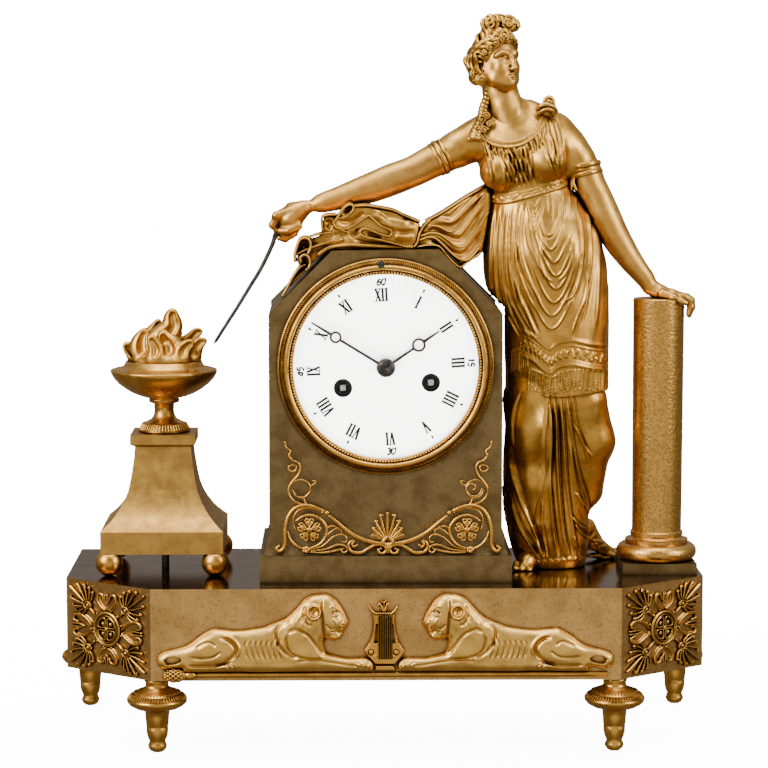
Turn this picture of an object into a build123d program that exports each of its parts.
"""Figural mantel clock: gilt bronze base, clock case, draped figure, column and altar with a flaming bowl.

Frame: millimetres, +Z up, the front faces -Y, the origin lies under the middle of the base at its feet.
"""
import os
from math import atan2, cos, degrees, pi, radians, sin

from build123d import *

os.makedirs("parts", exist_ok=True)

# Driving dimensions of the base
base_length = 329.0
base_front_length = 238.0
base_depth = 123.0
base_height = 47.0
base_wall = 3.0
cant_depth = 34.7
foot_height = 38.0

# Driving dimensions of the clock case
case_width = 118.8
case_depth = 81.0
case_rise = 169.0
case_wall = 3.0
case_chamfer = 32.0
case_plinth_height = 14.0
case_plinth_overhang = 4.9
case_flare = 3.3
case_flare_height = 15.0
case_back_thickness = 1.5
case_back_proud = 0.8

# Dial, bezels and hands
dial_height = 110.6
dial_roll = 3.4
dial_radius = 48.0
dial_thickness = 1.2
dial_dome = 2.1
bezel_radius = 55.0
bezel_rise = 6.6
bezel_sight_radius = 46.8
minute_hand_length = 43.8
hour_hand_length = 32.5
hand_thickness = 0.7

# Movement
front_plate_radius = 43.5
back_plate_radius = 41.0
plate_thickness = 2.0
plate_gap = 26.0
plate_setback = 9.5
arbor_radius = 1.2
pivot_radius = 0.7
running_clearance = 0.05
end_shake = 0.2

# Figure, column and altar
figure_height = 290.0
figure_x = 93.0
figure_y = 3.0
figure_bolt_x = 88.0
figure_bolt_y = 12.0
column_x = 142.4
column_y = -5.2
column_height = 142.4
column_top_radius = 13.3
column_foot_radius = 12.95
altar_x = -115.3
altar_y = 5.4
altar_block_width = 63.4
altar_cap_width = 33.8
ball_radius = 7.1

# Fasteners and shared clearances
bolt_radius = 2.0
bolt_clearance = 0.3
thread_clearance = 0.05
bolt_head_radius = 4.0
bolt_head_height = 3.0
soft_gap = 0.3
smooth_steps = 3
overrun = 1.0

base_bottom = foot_height
base_top = foot_height + base_height
base_front = -base_depth / 2
base_back = base_depth / 2
case_front = -case_depth / 2
case_back_face = case_depth / 2
case_foot = base_top + case_plinth_height
case_top = base_top + case_rise
dial_z = base_top + dial_height
plate_front = case_front + plate_setback
front_plate_back = plate_front + plate_thickness
back_plate_front = front_plate_back + plate_gap
back_plate_back = back_plate_front + plate_thickness


def rolled(x, z):
    """Place on the dial's own cross lines, turned with the dial, as world X and Z."""
    turn = radians(dial_roll)
    return x * cos(turn) - z * sin(turn), dial_z + x * sin(turn) + z * cos(turn)


def on_dial(x, z, y, turn=0.0):
    """Plane square to the dial's axis, facing the front, its X axis turned anticlockwise."""
    world_x, world_z = rolled(x, z)
    angle = radians(dial_roll + turn)
    return Plane(origin=(world_x, y, world_z), x_dir=(cos(angle), 0, sin(angle)), z_dir=(0, -1, 0))


def round_face(x, z, y, radius, hole=0.0):
    """Disc or ring square to the dial's axis."""
    with BuildSketch(on_dial(x, z, y)) as face:
        Circle(radius)
        if hole:
            Circle(hole, mode=Mode.SUBTRACT)
    return face.sketch


def outline(points):
    """Closed outline through points; a third value makes the stretch before a point an arc of that radius."""
    with BuildLine() as edge:
        for start, end in zip(points, points[1:] + points[:1]):
            if len(end) == 3:
                RadiusArc(start[:2], end[:2], end[2])
            else:
                Line(start[:2], end[:2])
    return edge.line


def turned_face(x, y, points):
    """Half section of a piece turned about the upright line at x, y; points are radius and height."""
    with BuildSketch(Plane(origin=(x, y, 0), x_dir=(1, 0, 0), z_dir=(0, -1, 0))) as face:
        with BuildLine():
            add(outline(points))
        make_face()
    return face.sketch


def upright(x, y):
    """Upright axis at x, y."""
    return Axis((x, y, 0), (0, 0, 1))


def dial_turned_face(points):
    """Half section of a piece turned about the dial's axis; points are radius and world Y."""
    with BuildSketch(Plane(origin=(0, 0, dial_z), x_dir=(1, 0, 0), z_dir=(0, 0, 1))) as face:
        with BuildLine():
            add(outline(points))
        make_face()
    return face.sketch


dial_axis = Axis((0, 0, dial_z), (0, 1, 0))


def section_face(centre, direction, half_width, half_depth, side=(0, 1, 0)):
    """Elliptical section of a limb, square to its run; half_depth lies along side."""
    along = Vector(*direction).normalized()
    across = along.cross(Vector(*side)).normalized()
    with BuildSketch(Plane(origin=centre, x_dir=across, z_dir=along)) as face:
        Ellipse(half_width, half_depth)
    return face.sketch


def smoothed(stations):
    """Stations with eased ones between them, so that a skin of straight rulings looks round."""
    last = len(stations) - 1
    result = []
    for number in range(last):
        before, start, end, after = (stations[min(max(number + shift, 0), last)] for shift in (-1, 0, 1, 2))
        for step in range(smooth_steps):
            t = step / smooth_steps
            result.append(tuple(
                s + (e - b) * t / 2 + (2 * b - 5 * s + 4 * e - a) * t**2 / 2 + (3 * s - 3 * e + a - b) * t**3 / 2
                for b, s, e, a in zip(before, start, end, after)
            ))
    return result + [tuple(stations[-1])]


def limb_faces(stations):
    """Sections of a limb; a station is X, Y, Z, half width in the picture plane and half depth."""
    faces = []
    for number, station in enumerate(stations):
        before = stations[max(number - 1, 0)]
        after = stations[min(number + 1, len(stations) - 1)]
        run = [after[i] - before[i] for i in range(3)]
        faces.append(section_face(station[:3], run, station[3], station[4]))
    return faces


# Base: a hollow casting with canted front corners and a boss for each foot
boss_radius = 6.5
boss_height = 12.0
foot_stud_length = 10.0
foot_inset = 7.5
front_foot_x = 116.4
rear_foot_x = 160.0
front_foot_y = base_front + foot_inset
rear_foot_y = base_back - foot_inset
foot_places = [
    (-front_foot_x, front_foot_y),
    (front_foot_x, front_foot_y),
    (-rear_foot_x, rear_foot_y),
    (rear_foot_x, rear_foot_y),
]
case_bolt_x = case_width / 2 + (case_plinth_overhang - case_wall) / 2
bolt_places = [
    (column_x, column_y),
    (altar_x, altar_y),
    (figure_bolt_x, figure_bolt_y),
    (-case_bolt_x, 0),
    (case_bolt_x, 0),
]


def base_outline():
    """Plan of the base, cut off at the two front corners."""
    half, front_half = base_length / 2, base_front_length / 2
    cant = base_front + cant_depth
    return [
        (-front_half, base_front),
        (front_half, base_front),
        (half, cant),
        (half, base_back),
        (-half, base_back),
        (-half, cant),
    ]


with BuildPart() as base_casting:
    with BuildSketch(Plane.XY.offset(base_bottom)):
        Polygon(*base_outline(), align=None)
    extrude(amount=base_height)
    with BuildSketch(Plane.XY.offset(base_bottom)):
        Polygon(*base_outline(), align=None)
        offset(amount=-base_wall, kind=Kind.INTERSECTION, mode=Mode.REPLACE)
    extrude(amount=base_height - base_wall, mode=Mode.SUBTRACT)
    with BuildSketch(Plane.XY.offset(base_bottom)):
        with Locations(*foot_places):
            Circle(boss_radius)
        with BuildSketch(mode=Mode.INTERSECT):
            Polygon(*base_outline(), align=None)
    extrude(amount=boss_height)
    with BuildSketch(Plane.XY.offset(base_bottom)):
        with Locations(*foot_places):
            Circle(bolt_radius + thread_clearance)
    extrude(amount=foot_stud_length + overrun, mode=Mode.SUBTRACT)
    with BuildSketch(Plane.XY.offset(base_top - base_wall)):
        with Locations(*bolt_places):
            Circle(bolt_radius + bolt_clearance)
    extrude(amount=base_wall, mode=Mode.SUBTRACT)
base_casting.part.label = "base_casting"
export_step(base_casting.part, "parts/base_casting.step")

# Four turned feet, each with a flat disc below its neck and a threaded stud above
foot_neck_radius = 6.9
foot_waist_radius = 5.8
foot_disc_radius = 15.5
foot_collar_radius = 10.8
foot_toe_radius = 4.9
foot_section = [
    (0, 0),
    (0.55 * foot_toe_radius, 0),
    (0.9 * foot_toe_radius, 0.12 * foot_height, -foot_toe_radius),
    (foot_toe_radius, 0.165 * foot_height),
    (foot_waist_radius, 0.335 * foot_height),
    (0.9 * foot_waist_radius, 0.35 * foot_height),
    (foot_waist_radius, 0.365 * foot_height),
    (foot_neck_radius, 0.53 * foot_height),
    (0.9 * foot_disc_radius, 0.645 * foot_height),
    (foot_disc_radius, 0.66 * foot_height),
    (foot_disc_radius, 0.705 * foot_height),
    (foot_collar_radius, 0.8 * foot_height),
    (foot_waist_radius, 0.86 * foot_height),
    (foot_neck_radius, 0.955 * foot_height),
    (foot_neck_radius, foot_height),
    (bolt_radius, foot_height),
    (bolt_radius, foot_height + foot_stud_length),
    (0, foot_height + foot_stud_length),
]
with BuildPart() as turned_feet:
    for foot_x, foot_y in foot_places:
        revolve(turned_face(foot_x, foot_y, foot_section), axis=upright(foot_x, foot_y))
turned_feet.part.label = "turned_feet"
export_step(turned_feet.part, "parts/turned_feet.step")

# Mounts on the front of the base: two lions lying nose to nose, a lyre between them, a rod beneath
lion_length = 108.4
lion_height = 39.9
lion_relief = 5.5
lion_tail_x = -114.8
rod_height = 3.2
rod_radius = 1.4
lion_foot_z = base_bottom + rod_height + rod_radius
lion_shares = [
    (0.12, 0.0), (0.035, 0.03), (0.0, 0.14), (0.045, 0.27), (0.135, 0.32), (0.2, 0.4),
    (0.262, 0.53), (0.37, 0.545), (0.5, 0.58), (0.59, 0.68), (0.66, 0.86), (0.715, 0.97), (0.79, 0.99),
    (0.855, 0.82), (0.887, 0.63), (0.86, 0.47), (0.82, 0.42), (0.79, 0.4), (0.785, 0.27), (0.87, 0.2),
    (0.96, 0.17), (1.0, 0.08), (0.985, 0.0),
]
lion_swell = 2.0
lion_swell_shares = [
    (0.27, 0.26, 0.1, 0.22), (0.45, 0.36, 0.14, 0.16), (0.66, 0.42, 0.09, 0.3), (0.74, 0.68, 0.1, 0.26),
    (0.82, 0.55, 0.045, 0.1), (0.9, 0.1, 0.075, 0.07), (0.42, 0.1, 0.1, 0.07),
]


def lion_outline(side):
    """Outline of one lion; side is -1 for the one on the left."""
    return [
        (side * (-lion_tail_x - share_x * lion_length), lion_foot_z + share_z * lion_height)
        for share_x, share_z in lion_shares
    ]


front_mount_plane = Plane(origin=(0, base_front, 0), x_dir=(1, 0, 0), z_dir=(0, -1, 0))
for lion_name, lion_side in (("lion_mount_left", -1), ("lion_mount_right", 1)):
    with BuildPart() as lion_mount:
        with BuildSketch(front_mount_plane):
            with BuildLine():
                points = lion_outline(lion_side)
                Spline(*points, tangents=((lion_side, 0), (0.2 * lion_side, -1)))
                Line(points[-1], points[0])
            make_face()
        extrude(amount=lion_relief)
        for share_x, share_z, width_share, height_share in lion_swell_shares:
            swell_x = lion_side * (-lion_tail_x - share_x * lion_length)
            swell_z = lion_foot_z + share_z * lion_height
            for lift_share, size_share in ((-0.5, 1.0), (0.6, 0.8), (1.0, 0.45)):
                with BuildSketch(front_mount_plane.offset(lion_relief + lift_share * lion_swell)):
                    with Locations((swell_x, swell_z)):
                        Ellipse(
                            size_share * width_share * lion_length, size_share * height_share * lion_height
                        )
            loft(ruled=True)
    lion_mount.part.label = lion_name
    export_step(lion_mount.part, f"parts/{lion_name}.step")

lyre_height = 35.0
lyre_width = 20.0
lyre_relief = 3.0
lyre_shares = [
    (0.26, 0.0), (0.22, 0.06), (0.5, 0.25), (0.28, 0.45), (0.3, 0.8), (0.36, 0.9), (0.12, 0.86), (0.08, 1.0),
]
with BuildPart() as lyre_mount:
    with BuildSketch(front_mount_plane):
        right_points = [(x * lyre_width, lion_foot_z + z * lyre_height) for x, z in lyre_shares]
        left_points = [(-x, z) for x, z in reversed(right_points)]
        Polygon(*right_points, *left_points, align=None)
    extrude(amount=lyre_relief)
lyre_mount.part.label = "lyre_mount"
export_step(lyre_mount.part, "parts/lyre_mount.step")

rod_half_length = 112.0
cone_length = 9.0
cone_radius = 3.4
with BuildPart() as thyrsus_rod:
    rod_z = base_bottom + rod_height
    with BuildSketch(Plane(origin=(-rod_half_length, base_front, rod_z), x_dir=(0, 1, 0), z_dir=(1, 0, 0))):
        Circle(rod_radius)
    extrude(amount=2 * rod_half_length)
    with BuildSketch(Plane(origin=(-rod_half_length, base_front, rod_z), x_dir=(1, 0, 0), z_dir=(0, -1, 0))):
        with BuildLine():
            Line((-cone_length / 2, 0), (cone_length / 2, 0))
            ThreePointArc((cone_length / 2, 0), (0, cone_radius), (-cone_length / 2, 0))
        make_face()
    revolve(axis=Axis((0, base_front, rod_z), (1, 0, 0)))
    split(bisect_by=Plane(origin=(0, base_front, 0), z_dir=(0, -1, 0)))
thyrsus_rod.part.label = "thyrsus_rod"
export_step(thyrsus_rod.part, "parts/thyrsus_rod.step")

# Openwork mount on each canted corner: a rosette in a ring, palmettes on the diagonals, scrolls between
corner_mount_width = 50.0
corner_mount_height = 43.0
corner_mount_relief = 2.0
corner_ring_radius = 10.0
corner_ring_width = 1.6
palmette_length = 15.0
palmette_width = 9.0
scroll_radius = 6.0
scroll_width = 1.5
with BuildPart() as corner_mounts:
    for side in (-1, 1):
        cant_run = Vector(side * (base_length - base_front_length) / 2, cant_depth, 0).normalized()
        cant_middle = (
            side * (base_length + base_front_length) / 4,
            base_front + cant_depth / 2,
            base_bottom + base_height / 2,
        )
        cant_plane = Plane(origin=cant_middle, x_dir=cant_run * side, z_dir=(side * cant_run.Y, -abs(cant_run.X), 0))
        with BuildSketch(cant_plane):
            Circle(corner_ring_radius)
            Circle(corner_ring_radius - corner_ring_width, mode=Mode.SUBTRACT)
            with PolarLocations(0.42 * corner_ring_radius, 4):
                Ellipse(0.45 * corner_ring_radius, 0.3 * corner_ring_radius)
            Circle(0.2 * corner_ring_radius)
            with PolarLocations(corner_ring_radius + 0.44 * palmette_length, 4, start_angle=45):
                Ellipse(palmette_length / 2, palmette_width / 2)
            with PolarLocations(corner_ring_radius + 0.9 * scroll_radius, 4):
                Circle(scroll_radius)
            with PolarLocations(corner_ring_radius + 0.9 * scroll_radius, 4):
                Circle(scroll_radius - scroll_width, mode=Mode.SUBTRACT)
            with BuildSketch(mode=Mode.INTERSECT):
                Rectangle(corner_mount_width, corner_mount_height)
        extrude(amount=corner_mount_relief)
corner_mounts.part.label = "corner_mounts"
export_step(corner_mounts.part, "parts/corner_mounts.step")

# Case plinth: a hollow rectangular frame under the case
plinth_half_width = case_width / 2 + case_plinth_overhang
plinth_half_depth = case_depth / 2 + case_plinth_overhang
case_inner_half = case_width / 2 - case_wall
case_bolt_depth = 9.0
with BuildPart() as case_plinth:
    with BuildSketch(Plane.XY.offset(base_top)):
        Rectangle(2 * plinth_half_width, 2 * plinth_half_depth)
        Rectangle(2 * case_inner_half, case_depth - 2 * case_wall, mode=Mode.SUBTRACT)
    extrude(amount=case_plinth_height)
    with BuildSketch(Plane.XY.offset(base_top)):
        with Locations((-case_bolt_x, 0), (case_bolt_x, 0)):
            Circle(bolt_radius + thread_clearance)
    extrude(amount=case_bolt_depth + overrun, mode=Mode.SUBTRACT)
case_plinth.part.label = "case_plinth"
export_step(case_plinth.part, "parts/case_plinth.step")


def case_outline(half_width, top):
    """Front outline of the case above its flare, with both upper corners cut off at 45 degrees."""
    shoulder = top - case_chamfer
    return [
        (-half_width, case_foot),
        (half_width, case_foot),
        (half_width, shoulder),
        (half_width - case_chamfer, top),
        (case_chamfer - half_width, top),
        (-half_width, shoulder),
    ]


# Case shell: open at the back and below, a flare at its foot, a round opening for the movement
bezel_sleeve_radius = 49.4
bezel_sleeve_wall = 1.2
case_opening_radius = bezel_sleeve_radius + 0.4
regulator_z = 50.1
regulator_hole_radius = 1.85
front_xz = Plane(origin=(0, 0, 0), x_dir=(1, 0, 0), z_dir=(0, -1, 0))
with BuildPart() as case_shell:
    with BuildSketch(front_xz):
        half = case_width / 2
        shoulder = case_top - case_chamfer
        flare_top = case_foot + case_flare_height
        with BuildLine():
            add(outline([
                (half + case_flare, case_foot),
                (half, flare_top, case_flare_height * 2.4),
                (half, shoulder),
                (half - case_chamfer, case_top),
                (case_chamfer - half, case_top),
                (-half, shoulder),
                (-half, flare_top),
                (-half - case_flare, case_foot, case_flare_height * 2.4),
            ]))
        make_face()
    extrude(amount=case_depth, both=True)
    with BuildSketch(Plane.YZ):
        with BuildLine():
            add(outline([
                (case_back_face, case_foot),
                (case_back_face, case_top),
                (case_front, case_top),
                (case_front, flare_top),
                (case_front - case_flare, case_foot, case_flare_height * 2.4),
            ]))
        make_face()
    extrude(amount=case_width, both=True, mode=Mode.INTERSECT)
    with BuildSketch(front_xz.offset(-case_front - case_wall)):
        Polygon(*case_outline(case_inner_half, case_top - case_wall), align=None)
    extrude(amount=-case_depth, mode=Mode.SUBTRACT)
    extrude(round_face(0, 0, case_front, case_opening_radius), amount=-case_wall, mode=Mode.SUBTRACT)
    extrude(
        round_face(0, regulator_z, case_front, regulator_hole_radius), amount=-case_wall, mode=Mode.SUBTRACT
    )
case_shell.part.label = "case_shell"
export_step(case_shell.part, "parts/case_shell.step")

# Back plate of the case, standing proud of the sides as a thin rim
clamp_rod_radius = 1.2
clamp_rod_ring = 46.5
clamp_rod_angle = 35.0
clamp_rod_places = [
    (clamp_rod_ring * cos(radians(angle)), clamp_rod_ring * sin(radians(angle)))
    for angle in (clamp_rod_angle, clamp_rod_angle + 180)
]
with BuildPart() as case_back:
    with BuildSketch(front_xz.offset(-case_back_face)):
        Polygon(*case_outline(case_width / 2 + case_back_proud, case_top + case_back_proud), align=None)
    extrude(amount=-case_back_thickness)
    extrude(
        round_face(0, 0, case_back_face, case_opening_radius), amount=-case_back_thickness, mode=Mode.SUBTRACT
    )
case_back.part.label = "case_back"
export_step(case_back.part, "parts/case_back.step")

# Scroll mount on the front of the case: a palmette between two running scrolls with rosettes
scroll_mount_relief = 2.2
scroll_ring_x = 39.5
scroll_ring_z = 113.5
scroll_ring_radius = 9.5
scroll_band = 1.6
palmette_radius = 8.0
palmette_z = 114.5
upper_ring_x = 46.5
upper_ring_z = 133.5
upper_ring_radius = 6.0
outer_curl_x = 52.5
outer_curl_z = 103.0
outer_curl_radius = 3.6
inner_curl_x = 23.0
inner_curl_z = 105.8
inner_curl_radius = 6.3
rosette_radius = 5.2
tip_height = 157.0
with BuildPart() as case_scroll_mount:
    with BuildSketch(front_xz.offset(-case_front)):
        with Locations((0, palmette_z)):
            Circle(palmette_radius)
        for side in (-1, 1):
            for ring_x, ring_z, ring_radius in (
                (scroll_ring_x, scroll_ring_z, scroll_ring_radius),
                (upper_ring_x, upper_ring_z, upper_ring_radius),
                (outer_curl_x, outer_curl_z, outer_curl_radius),
                (inner_curl_x, inner_curl_z, inner_curl_radius),
            ):
                with Locations((side * ring_x, ring_z)):
                    Circle(ring_radius)
        for side in (-1, 1):
            for ring_x, ring_z, ring_radius in (
                (scroll_ring_x, scroll_ring_z, scroll_ring_radius),
                (upper_ring_x, upper_ring_z, upper_ring_radius),
                (outer_curl_x, outer_curl_z, outer_curl_radius),
                (inner_curl_x, inner_curl_z, inner_curl_radius),
            ):
                with Locations((side * ring_x, ring_z)):
                    Circle(ring_radius - scroll_band, mode=Mode.SUBTRACT)
        for side in (-1, 1):
            with Locations((side * scroll_ring_x, scroll_ring_z)):
                Circle(rosette_radius)
            tip_foot = upper_ring_z + upper_ring_radius - scroll_band / 2
            Polygon(
                (side * (upper_ring_x - scroll_band), tip_foot),
                (side * (upper_ring_x + scroll_band), tip_foot),
                (side * (upper_ring_x + upper_ring_radius), tip_height),
                align=None,
            )
            link_z = scroll_ring_z - scroll_ring_radius
            Polygon(
                (side * scroll_band, palmette_z - palmette_radius),
                (side * scroll_ring_x, link_z - scroll_band / 2),
                (side * scroll_ring_x, link_z + scroll_band),
                (side * scroll_band, palmette_z - palmette_radius + scroll_band),
                align=None,
            )
            Polygon(
                (side * (scroll_ring_x - rosette_radius / 2), scroll_ring_z - scroll_band / 2),
                (side * (scroll_ring_x + scroll_ring_radius - scroll_band / 2), scroll_ring_z - scroll_band / 2),
                (side * (scroll_ring_x + scroll_ring_radius - scroll_band / 2), scroll_ring_z + scroll_band / 2),
                (side * (scroll_ring_x - rosette_radius / 2), scroll_ring_z + scroll_band / 2),
                align=None,
            )
    extrude(amount=scroll_mount_relief)
    with BuildSketch(Plane.YZ):
        with BuildLine():
            add(outline([
                (case_front, case_foot),
                (case_front, flare_top),
                (case_front - case_flare, case_foot, case_flare_height * 2.4),
            ]))
        make_face()
    extrude(amount=case_width, both=True, mode=Mode.SUBTRACT)
case_scroll_mount.part.label = "case_scroll_mount"
export_step(case_scroll_mount.part, "parts/case_scroll_mount.step")

# Front bezel: moulded ring on the case front with a sleeve and flange that carry the movement
bezel_front = case_front - bezel_rise
bezel_width = bezel_radius - bezel_sight_radius
dial_edge_back = case_front - 1.2 * dial_thickness
dial_edge_front = dial_edge_back - dial_thickness
rabbet_clearance = 0.2
flange_radius = 42.0
flange_thickness = 1.5
regulator_bearing_depth = 3.5
with BuildPart() as front_bezel:
    bezel_section = [
        (bezel_sleeve_radius, case_front),
        (bezel_radius, case_front),
        (bezel_radius, case_front - 0.22 * bezel_rise),
        (bezel_radius - 0.1 * bezel_width, case_front - 0.4 * bezel_rise),
        (bezel_radius - 0.44 * bezel_width, case_front - 0.55 * bezel_rise),
        (bezel_radius - 0.49 * bezel_width, case_front - 0.85 * bezel_rise),
        (bezel_radius - 0.74 * bezel_width, case_front - 0.9 * bezel_rise, 0.15 * bezel_width),
        (bezel_radius - 0.78 * bezel_width, case_front - 0.7 * bezel_rise),
        (bezel_sight_radius, case_front - 0.6 * bezel_rise),
        (bezel_sight_radius, dial_edge_front - rabbet_clearance),
        (dial_radius + rabbet_clearance, dial_edge_front - rabbet_clearance),
        (dial_radius + rabbet_clearance, plate_front - flange_thickness),
        (flange_radius, plate_front - flange_thickness),
        (flange_radius, plate_front),
        (bezel_sleeve_radius, plate_front),
    ]
    revolve(dial_turned_face(bezel_section), axis=dial_axis)
    extrude(
        round_face(0, regulator_z, bezel_front - overrun, regulator_hole_radius),
        amount=-(bezel_rise + overrun - regulator_bearing_depth),
        mode=Mode.SUBTRACT,
    )
    extrude(
        round_face(0, regulator_z, bezel_front - overrun, arbor_radius + running_clearance),
        amount=-case_depth / 2,
        mode=Mode.SUBTRACT,
    )
    for rod_x, rod_place_z in clamp_rod_places:
        extrude(
            round_face(rod_x, rod_place_z, plate_front - flange_thickness, clamp_rod_radius + thread_clearance),
            amount=-flange_thickness,
            mode=Mode.SUBTRACT,
        )
front_bezel.part.label = "front_bezel"
export_step(front_bezel.part, "parts/front_bezel.step")

# Enamel dial: a domed disc with three feet that pass the front plate
winding_x = 22.3
winding_z = -9.3
winding_hole_radius = 4.75
dial_centre_hole = 4.0
dial_foot_radius = 0.9
dial_foot_ring = 34.0
dial_foot_angles = (60, 180, 300)
dial_foot_places = [
    (dial_foot_ring * cos(radians(angle)), dial_foot_ring * sin(radians(angle))) for angle in dial_foot_angles
]
dial_foot_start = dial_edge_back - 0.7 * dial_dome
dome_radius = (dial_radius**2 + dial_dome**2) / (2 * dial_dome)
with BuildPart() as enamel_dial:
    for foot_x, foot_z in dial_foot_places:
        extrude(
            round_face(foot_x, foot_z, dial_foot_start, dial_foot_radius),
            amount=-(front_plate_back - dial_foot_start),
        )
    dial_section = [
        (0, dial_edge_front - dial_dome),
        (dial_radius, dial_edge_front, -dome_radius),
        (dial_radius, dial_edge_back),
        (0, dial_edge_back - dial_dome, dome_radius),
    ]
    revolve(dial_turned_face(dial_section), axis=dial_axis)
    dial_hole_start = dial_edge_front - dial_dome - overrun
    dial_hole_run = dial_dome + dial_thickness + 2 * overrun
    extrude(round_face(0, 0, dial_hole_start, dial_centre_hole), amount=-dial_hole_run, mode=Mode.SUBTRACT)
    for side in (-1, 1):
        extrude(
            round_face(side * winding_x, winding_z, dial_hole_start, winding_hole_radius),
            amount=-dial_hole_run,
            mode=Mode.SUBTRACT,
        )
enamel_dial.part.label = "enamel_dial"
export_step(enamel_dial.part, "parts/enamel_dial.step")

# Rear bezel with two hinge knuckles
rear_bezel_front = case_back_face + case_back_thickness
rear_bezel_thickness = 3.5
rear_bezel_back = rear_bezel_front + rear_bezel_thickness
rear_bezel_inner = 44.0
hinge_x = 51.0
hinge_offset = 2.0
hinge_y = rear_bezel_back + hinge_offset
knuckle_radius = 1.6
hinge_pin_radius = 0.8
knuckle_length = 4.0
hinge_gap = 0.2
with BuildPart() as rear_bezel:
    extrude(
        round_face(0, 0, rear_bezel_front, bezel_radius, rear_bezel_inner), amount=-rear_bezel_thickness
    )
    for lower in (knuckle_length + hinge_gap, -2 * knuckle_length - hinge_gap):
        with BuildSketch(Plane.XY.offset(dial_z + lower)):
            with Locations((hinge_x, hinge_y)):
                Circle(knuckle_radius)
            with Locations((hinge_x, (hinge_y + rear_bezel_back) / 2 - knuckle_radius / 2)):
                Rectangle(knuckle_radius, hinge_y - rear_bezel_back + knuckle_radius)
        extrude(amount=knuckle_length)
        with BuildSketch(Plane.XY.offset(dial_z + lower)):
            with Locations((hinge_x, hinge_y)):
                Circle(hinge_pin_radius)
        extrude(amount=knuckle_length, mode=Mode.SUBTRACT)
    for rod_x, rod_place_z in clamp_rod_places:
        extrude(
            round_face(rod_x, rod_place_z, rear_bezel_front, clamp_rod_radius + thread_clearance),
            amount=-rear_bezel_thickness,
            mode=Mode.SUBTRACT,
        )
rear_bezel.part.label = "rear_bezel"
export_step(rear_bezel.part, "parts/rear_bezel.step")

# Rear door, flush in the bezel, on a strap that reaches the hinge
door_radius = rear_bezel_inner - 0.4
door_thickness = 1.5
door_back = rear_bezel_back - 0.2
strap_thickness = 1.0
strap_start_x = 34.0
strap_rise = 0.3
door_knob_radius = 2.2
door_knob_length = 4.0
with BuildPart() as rear_door:
    extrude(round_face(0, 0, door_back - door_thickness, door_radius), amount=-door_thickness)
    with BuildSketch(Plane.XY.offset(dial_z - knuckle_length)):
        with Locations((hinge_x, hinge_y)):
            Circle(knuckle_radius)
        strap_y = rear_bezel_back + strap_rise
        Polygon(
            (strap_start_x, door_back - door_thickness / 2),
            (strap_start_x + strap_thickness, door_back - door_thickness / 2),
            (door_radius - strap_thickness, strap_y),
            (hinge_x, strap_y),
            (hinge_x, strap_y + strap_thickness),
            (strap_start_x, strap_y + strap_thickness),
            align=None,
        )
    extrude(amount=2 * knuckle_length)
    with BuildSketch(Plane.XY.offset(dial_z - knuckle_length)):
        with Locations((hinge_x, hinge_y)):
            Circle(hinge_pin_radius + running_clearance)
    extrude(amount=2 * knuckle_length, mode=Mode.SUBTRACT)
    extrude(
        round_face(-strap_start_x, 0, door_back, door_knob_radius), amount=-door_knob_length
    )
rear_door.part.label = "rear_door"
export_step(rear_door.part, "parts/rear_door.step")

with BuildPart() as door_hinge_pin:
    with BuildSketch(Plane.XY.offset(dial_z - 2 * knuckle_length - hinge_gap)):
        with Locations((hinge_x, hinge_y)):
            Circle(hinge_pin_radius)
    extrude(amount=4 * knuckle_length + 2 * hinge_gap)
door_hinge_pin.part.label = "door_hinge_pin"
export_step(door_hinge_pin.part, "parts/door_hinge_pin.step")

# Two long screws that clamp the bezels against the case
clamp_head_radius = 2.4
clamp_head_height = 1.6
with BuildPart() as clamp_screws:
    for rod_x, rod_place_z in clamp_rod_places:
        extrude(
            round_face(rod_x, rod_place_z, plate_front - flange_thickness, clamp_rod_radius),
            amount=-(rear_bezel_back - plate_front + flange_thickness),
        )
        extrude(
            round_face(rod_x, rod_place_z, rear_bezel_back, clamp_head_radius), amount=-clamp_head_height
        )
clamp_screws.part.label = "clamp_screws"
export_step(clamp_screws.part, "parts/clamp_screws.step")

# Places of the arbors on the movement's cross lines, worked out from the wheels that mesh
train_module = 0.5
barrel_teeth = 64
intermediate_leaves = 12
intermediate_teeth = 48
centre_leaves = 12
fine_module = 0.3
centre_teeth = 80
train_leaves = 8
third_module = 0.25
third_teeth = 80
escape_teeth = 50
escape_radius = 8.0
strike_teeth = 42
pin_leaves = 12
fly_module = 0.35
pin_teeth = 48
fly_leaves = 8


def centres(module, teeth, leaves):
    """Distance between the arbors of a wheel and the pinion that it drives."""
    return module * (teeth + leaves) / 2


def along(x, z, distance, angle):
    """Place at a distance from x, z in the direction of the angle in degrees."""
    return x + distance * cos(radians(angle)), z + distance * sin(radians(angle))


def direction(start, end):
    """Angle in degrees from one arbor to another."""
    return degrees(atan2(end[1] - start[1], end[0] - start[0]))


def crossing(first, first_distance, second, second_distance):
    """Upper place at given distances from two arbors."""
    span = ((second[0] - first[0]) ** 2 + (second[1] - first[1]) ** 2) ** 0.5
    reach = (first_distance**2 - second_distance**2 + span**2) / (2 * span)
    rise = (first_distance**2 - reach**2) ** 0.5
    unit_x, unit_z = (second[0] - first[0]) / span, (second[1] - first[1]) / span
    return first[0] + reach * unit_x - rise * unit_z, first[1] + reach * unit_z + rise * unit_x


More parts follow.
